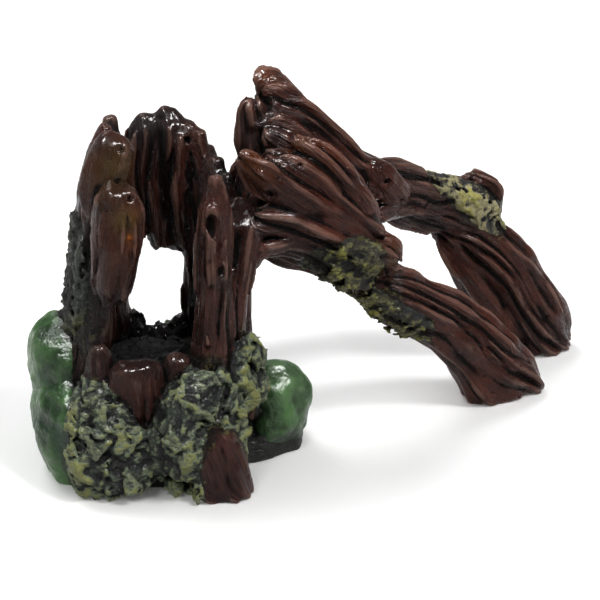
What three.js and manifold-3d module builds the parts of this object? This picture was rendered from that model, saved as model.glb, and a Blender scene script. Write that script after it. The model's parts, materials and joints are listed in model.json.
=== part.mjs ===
// Resin cave ornament for an aquarium: a hollow tree stump on a ring of rocks, open at the front, at the
// top and through a window in its back, with a torn log that leans on it and forks into two legs.
// Every root, splinter, rock and moss pad is a casting of its own, bonded to its neighbours.
// Millimetres, +Z up. The castings are laid out round the stump, and the finished ornament is then moved
// so that its origin is the middle of its footprint on the tank floor.

import * as THREE from "three";
import { mergeVertices } from "three/addons/utils/BufferGeometryUtils.js";
import Module from "manifold-3d";

const wasm = await Module();
wasm.setup();

// ---------------------------------------------------------------- driving dimensions

const GLUE_LINE = 0.3; // clearance between bonded castings
const STUMP = new THREE.Vector2(-50, -4); // axis of the stump, in plan
const SLAB_TOP = 7; // height of the foot slab
const FLOOR_HEIGHT = 33; // the cave's floor inside the stump
const MOSS_THICKNESS = 2.4; // how far a moss pad stands off the wood
const SMALLEST_STEP = 0.1; // facets finer than this are merged
const MODEL_REACH = 400; // larger than the whole ornament, for the cutting block under it

// ---------------------------------------------------------------- materials

const paint = (color, roughness) => new THREE.MeshStandardMaterial({ color, roughness, metalness: 0 });
const MATERIALS = {
  wood: paint(0x4a2a22, 0.42),
  greenRock: paint(0x35683a, 0.35),
  mossyRock: paint(0x4b5138, 0.6),
  moss: paint(0x868a48, 0.75),
  slab: paint(0x1d211b, 0.6),
  rubble: paint(0x2b2a24, 0.7),
};

// ---------------------------------------------------------------- solids

// A closed three.js geometry as a manifold-3d solid.
function solidOf(geometry) {
  const bare = geometry.clone().deleteAttribute("normal").deleteAttribute("uv");
  const merged = mergeVertices(bare, 1e-3);
  return new wasm.Manifold(
    new wasm.Mesh({
      numProp: 3,
      vertProperties: merged.attributes.position.array,
      triVerts: new Uint32Array(merged.index.array),
    }),
  );
}

// A manifold-3d solid as a three.js geometry.
function geometryOf(solid) {
  const mesh = solid.getMesh();
  const geometry = new THREE.BufferGeometry();
  geometry.setAttribute("position", new THREE.BufferAttribute(new Float32Array(mesh.vertProperties), 3));
  geometry.setIndex(new THREE.BufferAttribute(new Uint32Array(mesh.triVerts), 1));
  geometry.computeVertexNormals();
  return geometry;
}

const volumeOf = (solid) => solid.volume();
const largestOf = (solids) => solids.reduce((a, b) => (volumeOf(b) > volumeOf(a) ? b : a));
const joined = (solids) => solids.reduce((a, b) => a.add(b));

// A shape is a function of how much it is grown, in mm, so that a neighbour can be cut back from it.
const union = (...shapes) => (grow) => joined(shapes.map((shape) => shape(grow)));
const carved = (shape, ...hollows) => (grow) =>
  hollows.reduce((solid, hollow) => solid.subtract(hollow(0)), shape(grow));

// ---------------------------------------------------------------- shape makers

// The [half width, half thickness] of a limb at share u of its length, eased between its joints.
function sectionAt(joints, u) {
  const place = u * (joints.length - 1);
  const index = Math.min(Math.floor(place), joints.length - 2);
  const ease = THREE.MathUtils.smoothstep(place - index, 0, 1);
  return [3, 4].map((k) => THREE.MathUtils.lerp(joints[index][k], joints[index + 1][k], ease));
}

// How much of its section a limb keeps near a rounded end that takes up the share `length` of it.
function endFactor(distance, length) {
  if (length === 0 || distance >= length) return 1;
  return Math.sqrt(Math.max(1 - (1 - distance / length) ** 2, 0.22));
}

// A root, stave or splinter: a cylinder bent along a smooth curve through its joints, each
// [x, y, z, half width, half thickness], thin towards `face` and ridged along its length.
// `round` gives the share of its length that each end takes to round off, 0 for a torn flat end.
function limb(joints, { face = [0, -1, 0], ridges = 5, relief = 0.07, round = [0.12, 0.12], turn = 0,
  sides = 12, steps = 8 } = {}) {
  const curve = new THREE.CatmullRomCurve3(joints.map((j) => new THREE.Vector3(...j.slice(0, 3))));
  const outward = new THREE.Vector3(...face);
  return (grow) => {
    const geometry = new THREE.CylinderGeometry(1, 1, 1, sides, steps);
    const position = geometry.attributes.position;
    const end = new THREE.Vector3();
    for (let i = 0; i < position.count; i++) {
      const u = position.getY(i) + 0.5;
      const radius = Math.hypot(position.getX(i), position.getZ(i));
      const angle = Math.atan2(position.getZ(i), position.getX(i));
      const along = curve.getTangent(u);
      const thin = outward.clone().addScaledVector(along, -outward.dot(along)).normalize();
      const wide = along.clone().cross(thin);
      const [halfWidth, halfThickness] = sectionAt(joints, u);
      const scale = endFactor(u, round[0]) * endFactor(1 - u, round[1]);
      const ridge = 1 + relief * Math.cos(ridges * angle + turn + 2 * u);
      const reach = (half) => radius * (half * scale * ridge + grow);
      const point = curve.getPoint(u);
      if (u === 0 || u === 1) point.addScaledVector(along, u === 0 ? -grow : grow);
      end.copy(point)
        .addScaledVector(wide, reach(halfWidth) * Math.cos(angle))
        .addScaledVector(thin, reach(halfThickness) * Math.sin(angle));
      position.setXYZ(i, end.x, end.y, end.z);
    }
    return solidOf(geometry);
  };
}

// A rock: a sphere stretched to its radii, turned about Z, with shallow dents that `seed` moves about.
function rock(centre, radii, { turn = 0, dents = 0.09, seed = 1, detail = 3 } = {}) {
  return (grow) => {
    const geometry = new THREE.IcosahedronGeometry(1, detail);
    const position = geometry.attributes.position;
    const point = new THREE.Vector3();
    for (let i = 0; i < position.count; i++) {
      point.fromBufferAttribute(position, i);
      const bumps =
        Math.sin(3.1 * point.x + seed) * Math.cos(2.7 * point.y + 2 * seed) +
        0.6 * Math.sin(4.3 * point.z + 3 * seed) * Math.cos(3.7 * point.x - seed);
      const stretch = radii.map((r) => r * (1 + dents * bumps) + grow);
      point.set(point.x * stretch[0], point.y * stretch[1], point.z * stretch[2]);
      point.applyAxisAngle(THREE.Object3D.DEFAULT_UP.clone().set(0, 0, 1), turn);
      position.setXYZ(i, point.x + centre[0], point.y + centre[1], point.z + centre[2]);
    }
    return solidOf(geometry);
  };
}

// A slab with a smooth closed outline through the points, standing on the floor.
function slab(outline, height) {
  return (grow) => {
    const [first, last] = [outline[0], outline.at(-1)].map(([x, y]) => new THREE.Vector2(x, y));
    const centre = first.add(last).multiplyScalar(0.5);
    outline.forEach(([x, y]) => centre.add(new THREE.Vector2(x, y).sub(centre).divideScalar(outline.length)));
    const rim = outline.map(([x, y]) => {
      const out = new THREE.Vector2(x, y).sub(centre);
      return out.setLength(out.length() + grow).add(centre);
    });
    const curve = new THREE.CatmullRomCurve3(rim.map((p) => new THREE.Vector3(p.x, p.y, 0)), true);
    const shape = new THREE.Shape(curve.getPoints(4 * outline.length).slice(0, -1));
    return solidOf(new THREE.ExtrudeGeometry(shape, { depth: height + grow, bevelEnabled: false }));
  };
}

// One upright stave of the stump's wall, at an angle round its axis in degrees. Its foot and head are
// [height, distance from the axis], and it bows outward by `bow` halfway up.
function stave(angle, foot, head, width, thickness, { bow = 0, ...options } = {}) {
  const away = new THREE.Vector2(1, 0).rotateAround(new THREE.Vector2(), THREE.MathUtils.degToRad(angle));
  const joint = (share, w, t) => {
    const reach = THREE.MathUtils.lerp(foot[1], head[1], share) + 4 * bow * share * (1 - share);
    const height = THREE.MathUtils.lerp(foot[0], head[0], share);
    return [STUMP.x + away.x * reach, STUMP.y + away.y * reach, height, w, t];
  };
  const joints = [
    joint(0, width * 1.1, thickness * 1.15),
    joint(0.35, width, thickness),
    joint(0.7, width * 0.95, thickness * 0.95),
    joint(1, width * 0.75, thickness * 0.8),
  ];
  const shape = { face: [away.x, away.y, 0], turn: angle, round: [0, 0.14], ridges: 4, sides: 10, steps: 7 };
  return limb(joints, { ...shape, ...options });
}

// ---------------------------------------------------------------- assembly

const ornament = new THREE.Group();
const placed = [];
const belowFloor = () =>
  solidOf(new THREE.BoxGeometry(MODEL_REACH, MODEL_REACH, MODEL_REACH).translate(0, 0, -MODEL_REACH / 2));

// Cuts a casting level with the floor and back from every casting placed before it, and adds it.
function place(name, material, shape, raw = shape(0)) {
  let solid = raw.subtract(belowFloor());
  for (const neighbour of placed) solid = solid.subtract(neighbour.grown);
  solid = largestOf(solid.simplify(SMALLEST_STEP).decompose());
  const mesh = new THREE.Mesh(geometryOf(solid), MATERIALS[material]);
  mesh.name = name;
  ornament.add(mesh);
  placed.push({ name, grown: shape(GLUE_LINE) });
}

// A moss pad: the part of a skin over its host wood that lies inside a rock-shaped patch.
function placeMoss(name, host, patch) {
  const skin = (grow) => host(MOSS_THICKNESS + grow).intersect(patch(grow));
  place(name, "moss", skin);
}

// ---------------------------------------------------------------- the stump

const footSlab = slab(
  [[-80, 4], [-78, -12], [-67, -20], [-52, -24], [-30, -22], [-12, -20], [-6, -7], [-17, 13], [-36, 27],
    [-62, 31], [-76, 20]],
  SLAB_TOP,
);

const leftWall = union(
  stave(125, [SLAB_TOP, 24], [97, 17], 6.5, 4.5, { bow: 1 }),
  stave(144, [SLAB_TOP, 25], [101, 14], 7.5, 4.5, { bow: 2 }),
  stave(165, [SLAB_TOP, 25], [104, 13], 7, 4.5, { bow: 3 }),
  stave(188, [SLAB_TOP, 25], [93, 16], 7.5, 4.5, { bow: 2 }),
);
const backLeftStave = stave(105, [SLAB_TOP, 24], [102, 20], 5.5, 4.5);
const backRightWall = union(
  stave(27, [SLAB_TOP, 24], [97, 21], 7.5, 5),
  stave(8, [SLAB_TOP, 24], [90, 21], 8, 5),
  stave(349, [SLAB_TOP, 23], [87, 21], 7, 4.5),
);
const backLintel = union(
  stave(71, [64, 23], [101, 22], 6.5, 5),
  stave(54, [61, 22], [103, 22], 7, 5.5),
  stave(40, [63, 22], [99, 22], 6, 5),
);
const backSill = union(
  stave(86, [SLAB_TOP, 24], [39, 23], 6, 4.5),
  stave(66, [SLAB_TOP, 24], [35, 23], 7, 5),
  stave(48, [SLAB_TOP, 24], [38, 23], 6, 4.5),
);

const frontPost = carved(
  limb([[-46, -24, SLAB_TOP, 10, 7], [-45, -24.5, 26, 8.5, 6.5], [-43.5, -25.5, 42, 5.2, 6],
    [-43.5, -26, 60, 4.6, 5.5], [-42.5, -26.5, 77, 4.9, 5.5], [-42, -26.5, 92, 3.5, 3.5]],
    { face: [-0.3, -1, 0], turn: 1 }),
  limb([[-44, -33, 71, 1.2, 2], [-43.5, -32, 77, 1.9, 4], [-43, -32, 83, 1, 2]],
    { relief: 0, sides: 8, steps: 4 }),
);
const rightColumn = limb(
  [[-34, -16, SLAB_TOP, 8, 9], [-36, -18.5, 34, 6, 7], [-36, -19.5, 50, 5.5, 7], [-33.5, -18, 64, 5.5, 7.5],
    [-27, -13, 80, 8, 8]],
  { face: [0.5, -0.8, 0] },
);

const frontLeftStave = limb(
  [[-70, -10, 78, 5, 3.5], [-69, -13, 90, 7.5, 4], [-66, -13, 99, 6.5, 4], [-65, -12, 104, 4.5, 3]],
  { face: [-0.6, -0.8, 0], round: [0.1, 0.2] },
);
const hangingSlab = limb(
  [[-68, -16, 92, 5.5, 4.5], [-68, -19, 84, 7, 5.5], [-69.5, -20, 72, 6.5, 5.5],
    [-70.5, -19, 63, 5.3, 5], [-71, -18.5, 57, 3.5, 3.5]],
  { face: [-0.6, -0.8, 0], ridges: 4, round: [0.12, 0.15] },
);

const frontStubs = [
  ["front_stub_left", [[-73, -14, 24, 4.5, 4], [-74, -15, 36, 4, 4], [-74, -16, 45, 3.5, 3]]],
  ["front_stub_broad", [[-65, -21, 20, 8, 4.5], [-66, -22.5, 32, 8, 4.5], [-66.5, -22, 41, 7.8, 4]]],
  ["front_stub_middle", [[-54, -24, 22, 4, 4], [-54, -25, 34, 4, 4], [-54.5, -25, 42, 3.5, 3]]],
];

// The core under the cave's floor, that the staves stand round.
const stumpCore = (grow) => {
  const shoulder = FLOOR_HEIGHT - 2;
  const profile = [[0, SLAB_TOP], [27, SLAB_TOP], [25, 22], [21, shoulder], [12, FLOOR_HEIGHT],
    [0, FLOOR_HEIGHT]];
  const outline = profile.map(([r, z]) => {
    const reach = r === 0 ? 0 : r + grow;
    return new THREE.Vector2(reach, z > SLAB_TOP ? z + grow : z - grow);
  });
  const lathe = new THREE.LatheGeometry(outline, 20);
  return solidOf(lathe.rotateX(Math.PI / 2).translate(STUMP.x, STUMP.y, 0));
};

// ---------------------------------------------------------------- the log

const logTrunk = limb(
  [[-22, -8, 80, 17, 11], [-14, -8, 78, 19, 13], [-3, -11, 71, 17, 13], [9, -14, 60, 13, 11],
    [19, -16, 49, 8.5, 9]],
  { face: [0, -1, 0], ridges: 7, relief: 0.05, round: [0, 0.1], sides: 18 },
);
const logHorn = union(
  limb([[-16.5, -6, 112.4, 5, 5], [-11.5, -7, 106.5, 6, 6], [-4, -8, 98, 6, 7.5], [8, -7, 86, 6.5, 8],
    [23, -2, 76, 7, 8]],
    { face: [0, -1, 0], round: [0.1, 0] }),
  limb([[-17, -6, 84, 5, 7], [-17.5, -6, 94, 5, 6], [-18, -6, 102, 4.5, 5], [-18, -6, 107, 3.5, 4]],
    { face: [0, -1, 0] }),
);
const upperSplinter = limb(
  [[-20, -8, 100, 7, 6], [-12, -11, 95.5, 7.5, 6.5], [-2, -13, 88, 6.5, 6.5], [9, -12, 79, 5, 6],
    [15, -10, 75, 3.5, 4]],
  { face: [0, -1, 0], round: [0.05, 0.1] },
);
const middleSplinter = limb(
  [[-13, -21, 97, 2.5, 3], [-5, -24, 90, 4, 4], [4, -25, 79.5, 4, 4.5], [12, -24, 68, 3.5, 4]],
  { face: [0, -1, 0] },
);
const greySplinter = limb(
  [[-23, -21, 94, 3, 4], [-14, -24, 89, 4.5, 4.5], [-4, -25, 82, 4.5, 5], [7, -26, 73, 4, 4.5],
    [14, -25, 65, 3, 4]],
  { face: [0, -1, 0] },
);
const frontSplinter = limb(
  [[-31, -21, 95, 2.8, 3.5], [-23, -24, 87, 4.5, 5], [-11, -26, 79, 5, 5.5], [1, -26, 72, 5, 5.5],
    [13, -25, 63, 5, 5], [19, -23, 55, 3.5, 4]],
  { face: [0, -1, 0] },
);
const lowerStrand = limb(
  [[-29, -20, 72, 3.5, 4], [-22, -22, 76, 4.5, 5], [-12, -25, 73, 4.5, 5.5], [1, -25, 66, 5, 5],
    [12, -24, 57, 4, 5]],
  { face: [0, -1, 0] },
);
const archStrand = limb(
  [[-34, -17, 47, 3, 5], [-31, -18, 59, 3, 5], [-23, -19, 67.5, 3, 5], [-11, -21, 65, 3.2, 5.5],
    [1, -21, 56, 4, 5.5], [12, -20, 47, 4, 5]],
  { face: [0, -1, 0] },
);

const frontLeg = union(
  limb([[16, -18, 53, 4.5, 6], [30, -17, 43, 4.7, 7], [48, -16, 31.5, 5.7, 7.5], [64, -18, 18, 6, 8],
    [75, -19, 5, 5.5, 7], [77.5, -19, -4, 5, 6]], { face: [0, -1, 0], round: [0.1, 0] }),
  limb([[14, -19, 50, 6, 6], [29, -18, 38, 6.5, 7], [45, -18, 26, 6.5, 7.5], [59, -20, 13, 7, 8],
    [69, -20, 1, 7, 7], [72, -20, -6, 7, 7]],
    { face: [0, -1, 0], turn: 2, round: [0.1, 0] }),
  limb([[13, -18, 45, 4.5, 6], [27, -17, 34, 4.5, 6], [42, -17, 24, 4.5, 6], [53, -18, 12, 5, 6.5],
    [59, -19, 0, 5, 6], [62, -19, -6, 5, 6]],
    { face: [0, -1, 0], turn: 4, round: [0.1, 0] }),
);

const rearBranch = union(
  limb([[22, -1, 76, 7.5, 8], [34, 3, 71, 8.5, 9], [48, 7, 65, 8.8, 9], [62, 9, 60, 9, 9],
    [80, 9, 53, 9, 8]],
    { face: [0, -1, 0], round: [0, 0.1] }),
  limb([[16, -5, 72, 6, 7], [30, 0, 67.5, 5, 8], [45, 6, 63, 4.5, 7], [59, 9, 57, 6, 7]],
    { face: [0, -1, 0], turn: 2, round: [0, 0.2] }),
);
const branchKnot = limb(
  [[17, -9, 84, 2.5, 3], [22, -10, 80, 4.8, 4.5], [27.5, -9, 75, 4.8, 4.5], [34, -6, 69.5, 3, 3.5]],
  { face: [0.2, -1, 0.2] },
);
const rearLeg = union(
  limb([[62, 9, 57, 8, 8], [75, 10, 46, 10, 9], [88.5, 9, 31, 11, 10], [100, 8, 15, 12, 10],
    [106, 8, 1, 12, 9], [108, 8, -9, 11, 9]],
    { face: [0.1, -1, 0.1], round: [0.1, 0], sides: 14 }),
  limb([[59, 9, 55, 4, 5], [66, 10, 46, 5.5, 6], [72.5, 10, 36, 6, 6], [82, 10, 22, 6.5, 7],
    [91, 9, 6, 5.5, 7], [96, 9, -6, 5, 6]],
    { face: [0.1, -1, 0.1], round: [0.1, 0] }),
);
const rearStub = limb(
  [[77, 12, 46, 8, 6], [78.5, 12, 56, 8, 6], [79, 12.5, 63, 8, 5], [79.5, 12.5, 67.5, 7.5, 4]],
  { face: [0, -1, 0], round: [0, 0.06] },
);

// ---------------------------------------------------------------- the rocks and roots round the foot

const frontLeftMossyRock = rock([-73, -17, 13], [13, 11, 23], { seed: 3, turn: -0.4, dents: 0.13 });
// The root end shows through a notch in the front rock.
const frontMossyRock = carved(
  rock([-50.5, -29.5, 17], [14, 11, 24], { seed: 6, turn: -0.3, dents: 0.13 }),
  limb([[-50, -40, 19, 7, 6], [-47.5, -43, 12, 9.5, 8], [-46, -45, 4, 10, 8], [-45, -46, -8, 10, 8]],
    { face: [-0.4, -0.8, 0.4], relief: 0, steps: 5 }),
);
const rocks = [
  ["left_upper_rock", "greenRock", rock([-76.5, 5, 33], [9.5, 13, 15], { seed: 2, turn: 0.3 })],
  ["left_lower_rock", "greenRock", rock([-76, 0, 14.5], [13, 15, 19.5], { seed: 4, turn: 0.3 })],
  ["right_rock", "greenRock", rock([-18, -15, 15], [12, 11.5, 12.8], { seed: 5, turn: 0.4 })],
  ["back_left_rock", "greenRock", rock([-64, 23, 16], [15, 11, 17], { seed: 7 })],
  ["front_left_mossy_rock", "mossyRock", frontLeftMossyRock],
  ["front_mossy_rock", "mossyRock", frontMossyRock],
  ["post_foot_rubble", "mossyRock", rock([-36, -24, 32], [9, 8, 12], { seed: 8, dents: 0.14 })],
  ["back_right_mossy_rock", "mossyRock", rock([-30, 17, 16], [15, 11, 18], { seed: 9 })],
];
const frontRootToe = limb(
  [[-51, -29, 26, 7, 6], [-49, -32.5, 17, 9, 8], [-47, -35, 8, 9.5, 7], [-45.5, -36.1, 0, 8.5, 6.2],
    [-45, -36.6, -6, 7.5, 5.5]],
  { face: [-0.4, -0.8, 0.4], round: [0.1, 0] },
);

// ---------------------------------------------------------------- where the two long moss pads grow

const underLogPatch = limb([[5, -22, 48, 5, 9], [14, -22, 41, 6, 9], [24, -22, 34.5, 6, 9],
  [34, -21, 28.5, 4.5, 9]]);
const branchPatch = limb(
  [[49, 2, 73, 3, 9], [58, 2, 69, 5, 10], [66, 2, 63.5, 7, 10], [75, 2, 57.5, 6.5, 10],
    [85, 3, 50.5, 5.5, 10]],
);

// ---------------------------------------------------------------- putting it together

place("foot_slab", "slab", footSlab);
place("stump_left_wall", "wood", leftWall);
place("stump_back_left_stave", "wood", backLeftStave);
place("stump_back_right_wall", "wood", backRightWall);
place("stump_back_lintel", "wood", backLintel);
place("stump_back_sill", "wood", backSill);
place("stump_right_column", "wood", rightColumn);
place("stump_front_post", "wood", frontPost);
place("front_left_stave", "wood", frontLeftStave);
place("hanging_bark_slab", "wood", hangingSlab);
for (const [name, joints] of frontStubs) {
  place(name, "wood", limb(joints, { face: [-0.4, -0.9, 0], relief: 0.04, round: [0, 0.2] }));
}
place("cave_floor", "rubble", stumpCore);

place("log_trunk", "wood", logTrunk);
place("log_horn", "wood", logHorn);
place("log_upper_splinter", "wood", upperSplinter);
place("log_middle_splinter", "wood", middleSplinter);
place("log_grey_splinter", "wood", greySplinter);
place("log_front_splinter", "wood", frontSplinter);
place("log_lower_strand", "wood", lowerStrand);
place("log_arch_strand", "wood", archStrand);
place("front_leg", "wood", frontLeg);
place("rear_branch", "wood", rearBranch);
place("rear_branch_knot", "wood", branchKnot);
place("rear_leg", "wood", rearLeg);
place("rear_stub", "wood", rearStub);

place("front_root_toe", "wood", frontRootToe);
for (const [name, material, shape] of rocks) place(name, material, shape);

const logFront = union(logTrunk, archStrand, lowerStrand, frontLeg);
placeMoss("moss_on_log", logFront, rock([0.5, -27, 56.5], [13, 13, 12.5], { turn: 0.1 }));
placeMoss("moss_on_front_leg", logFront, underLogPatch);
placeMoss("moss_on_rear_branch", union(rearBranch, rearLeg), branchPatch);
placeMoss("moss_on_stump", leftWall, rock([-76, 2, 60], [12, 14, 21], { seed: 2 }));

// The ornament's own frame: its origin is the middle of its footprint, on the floor.
const middle = new THREE.Box3().setFromObject(ornament).getCenter(new THREE.Vector3());
ornament.position.set(-middle.x, -middle.y, 0);

export default ornament;
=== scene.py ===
"""Looks for the resin cave ornament: each CAD casting is re-sculpted as its own piece, with carved bark,
crumbly moss and dented rock, and gets a procedural painted-resin material. The sculpting works on distance
fields made from the CAD castings, in millimetres, on one voxel grid that every piece shares."""

import json
import math
import bpy
import numpy as np
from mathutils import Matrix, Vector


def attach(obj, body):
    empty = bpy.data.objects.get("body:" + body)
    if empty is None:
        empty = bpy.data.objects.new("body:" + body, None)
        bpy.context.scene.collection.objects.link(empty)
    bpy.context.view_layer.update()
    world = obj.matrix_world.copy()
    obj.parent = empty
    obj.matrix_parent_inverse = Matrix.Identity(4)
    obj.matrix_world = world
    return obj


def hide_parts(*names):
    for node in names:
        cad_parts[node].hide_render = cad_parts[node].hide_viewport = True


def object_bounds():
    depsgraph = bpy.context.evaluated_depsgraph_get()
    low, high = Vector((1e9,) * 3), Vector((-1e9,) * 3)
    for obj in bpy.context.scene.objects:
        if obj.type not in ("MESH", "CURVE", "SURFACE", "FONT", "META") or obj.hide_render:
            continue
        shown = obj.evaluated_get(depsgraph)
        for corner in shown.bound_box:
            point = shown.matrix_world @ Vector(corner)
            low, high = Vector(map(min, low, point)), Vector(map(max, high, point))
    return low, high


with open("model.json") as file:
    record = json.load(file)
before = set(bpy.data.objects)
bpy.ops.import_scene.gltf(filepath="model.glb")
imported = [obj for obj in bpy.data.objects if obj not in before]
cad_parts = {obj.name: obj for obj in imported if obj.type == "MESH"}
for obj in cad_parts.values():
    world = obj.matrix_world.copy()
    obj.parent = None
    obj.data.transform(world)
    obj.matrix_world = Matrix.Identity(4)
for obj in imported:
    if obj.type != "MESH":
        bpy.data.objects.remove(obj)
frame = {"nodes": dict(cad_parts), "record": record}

import openvdb as vdb
from mathutils import Vector

CAD_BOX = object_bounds()
MM = 0.001
VOXEL = 0.62
BAND = 13  # voxels of distance field kept on each side of a surface
PAD = BAND + 1
FAR = BAND * VOXEL

# Lengths in mm.
WOOD_MELT = 8.0  # two wood walls that face each other fill in over this
OTHER_MELT = 6.0  # the same, where moss or rock meets its neighbour
POST_MELT_GAIN = 1.2  # how much more the post melts into its column, low down
POST_MELT_FROM, POST_MELT_TO = 52, 66  # heights between which that fades out
KNOT_MELT_GAIN = 1.7  # the knot melts this many times further into its branch
OVERLAP = 0.5  # a piece runs on this far beneath its neighbour
SPLIT_STEEPNESS = 1.2  # how sharply a piece's skin dives past its joint
CARVE_REACH = 2.9  # carving moves the skin within this distance of it
SHARED_REACH, SHARED_FALLOFF = 2.2, 0.6  # neighbours' carving blends over this
CREVICE_DEPTH, SEAM_DEPTH, GROWN_DEPTH = 1.3, 0.35, 0.15
CREVICE_WIDTH, CREVICE_REACH = 0.8, 3.2
RIM_BLUR = 2.2  # radius over which a wall's top edge is felt
RIDGE_UNIT = 0.35  # height of a ridge that counts as 1 in the paint
BROAD_UNIT, BROAD_BLUR = 1.2, 3.6  # the same for broad forms, and the radius they are measured over
MOSS_SPREAD = 1.6  # moss stains its neighbours over this distance
SMALLEST_BODY = 60  # faces; a smaller loose crumb is dropped

# ---------------------------------------------------------------- what each casting is

WOOD, GREEN, MOSSY, MOSS, SLAB, RUBBLE = "wood", "green", "mossy", "moss", "slab", "rubble"
KIND_OF_SLOT = {
    "wood_paint": WOOD,
    "green_rock_paint": GREEN,
    "mossy_rock_paint": MOSSY,
    "moss_paint": MOSS,
    "dark_base_paint": SLAB,
    "rubble_paint": RUBBLE,
}
SLOT_OF_NODE = {s["node"]: s["material_slot"] for s in frame["record"]["subparts"]}
NODES = sorted(frame["nodes"])
KIND = {n: KIND_OF_SLOT[SLOT_OF_NODE[n]] for n in NODES}

# Walls and staves whose fibres stand upright, whatever their longest side.
UPRIGHT = [n for n in NODES if n.startswith(("stump_", "front_stub", "front_left", "hanging"))]

# Neighbours that run into each other as one piece of wood, with no crevice between them.
GROWN_TOGETHER = [
    ("log_horn", "rear_branch"),
    ("rear_branch", "rear_leg"),
    ("rear_leg", "rear_stub"),
    ("rear_branch", "rear_stub"),
    ("log_trunk", "front_leg"),
    ("log_lower_strand", "front_leg"),
    ("log_front_splinter", "front_leg"),
    ("stump_back_right_wall", "stump_back_lintel"),
    ("stump_back_right_wall", "stump_back_sill"),
    ("stump_back_left_stave", "stump_back_lintel"),
    ("stump_back_left_stave", "stump_left_wall"),
    ("stump_back_left_stave", "stump_back_sill"),
    ("stump_right_column", "log_trunk"),
    ("stump_right_column", "log_arch_strand"),
    ("stump_right_column", "log_lower_strand"),
    ("front_root_toe", "front_mossy_rock"),
    ("rear_branch_knot", "rear_branch"),
    ("rear_branch_knot", "log_horn"),
    ("stump_left_wall", "front_left_stave"),
    ("stump_front_post", "stump_right_column"),
]

# ---------------------------------------------------------------- noise


GRADIENTS = 4096
HASH_X, HASH_Y, HASH_Z = 73856093, 19349663, 83492791
CHUNK = 400000  # points worked on at a time
NOISE_GAIN = 1.6  # brings the noise to about -1 to 1


def gradient_table(seed):
    rng = np.random.default_rng(seed)
    g = rng.normal(size=(GRADIENTS, 3))
    return (g / np.linalg.norm(g, axis=1, keepdims=True)).astype(np.float32)


def noise(p, seed=0):
    """Gradient noise, about -1 to 1, at the points p (n, 3)."""
    out = np.empty(len(p), np.float32)
    table = gradient_table(seed)
    for a in range(0, len(p), CHUNK):
        q = p[a : a + CHUNK]
        base = np.floor(q).astype(np.int32)
        f = (q - base).astype(np.float32)
        u = f * f * f * (f * (f * 6 - 15) + 10)
        total = np.zeros(len(q), np.float32)
        for dx in (0, 1):
            hx = (base[:, 0] + dx) * HASH_X
            wx = u[:, 0] if dx else 1 - u[:, 0]
            for dy in (0, 1):
                hy = hx ^ ((base[:, 1] + dy) * HASH_Y)
                wy = wx * (u[:, 1] if dy else 1 - u[:, 1])
                for dz in (0, 1):
                    h = hy ^ ((base[:, 2] + dz) * HASH_Z)
                    h = (h ^ (h >> 13)) & (GRADIENTS - 1)
                    g = table[h]
                    dot = g[:, 0] * (f[:, 0] - dx) + g[:, 1] * (f[:, 1] - dy) + g[:, 2] * (f[:, 2] - dz)
                    total += dot * wy * (u[:, 2] if dz else 1 - u[:, 2])
        out[a : a + CHUNK] = total
    return out * NOISE_GAIN


def billow(p, seed):
    """Rounded mounds with sharp valleys between them, about -0.5 to 1."""
    return np.abs(noise(p, seed)) * 2.2 - 0.6


def smoothstep(x, low, high):
    t = np.clip((x - low) / (high - low), 0, 1)
    return t * t * (3 - 2 * t)


# ---------------------------------------------------------------- the voxel grid

low = np.array([CAD_BOX[0][k] for k in range(3)]) * 1000
high = np.array([CAD_BOX[1][k] for k in range(3)]) * 1000
ORIGIN = np.floor(low / VOXEL).astype(int) - PAD
SHAPE = np.ceil(high / VOXEL).astype(int) + PAD + 1 - ORIGIN
TRANSFORM = vdb.createLinearTransform(VOXEL)


def blurred(field, radius, passes=2):
    """The field, averaged over a box of 2 radius + 1 voxels along each axis, a few times."""
    out = field.astype(np.float32)
    width = 2 * radius + 1
    for _ in range(passes):
        for axis in range(3):
            pad = [(0, 0)] * 3
            pad[axis] = (radius + 1, radius)
            total = np.cumsum(np.pad(out, pad, mode="edge"), axis=axis, dtype=np.float64)
            hi = [slice(None)] * 3
            lo = [slice(None)] * 3
            hi[axis] = slice(width, None)
            lo[axis] = slice(0, -width)
            out = ((total[tuple(hi)] - total[tuple(lo)]) / width).astype(np.float32)
    return out


def mesh_arrays(obj):
    mesh = obj.data
    mesh.calc_loop_triangles()
    co = np.empty(len(mesh.vertices) * 3, np.float32)
    mesh.vertices.foreach_get("co", co)
    tri = np.empty(len(mesh.loop_triangles) * 3, np.int32)
    mesh.loop_triangles.foreach_get("vertices", tri)
    return co.reshape(-1, 3) * 1000, tri.reshape(-1, 3).astype(np.uint32)


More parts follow.
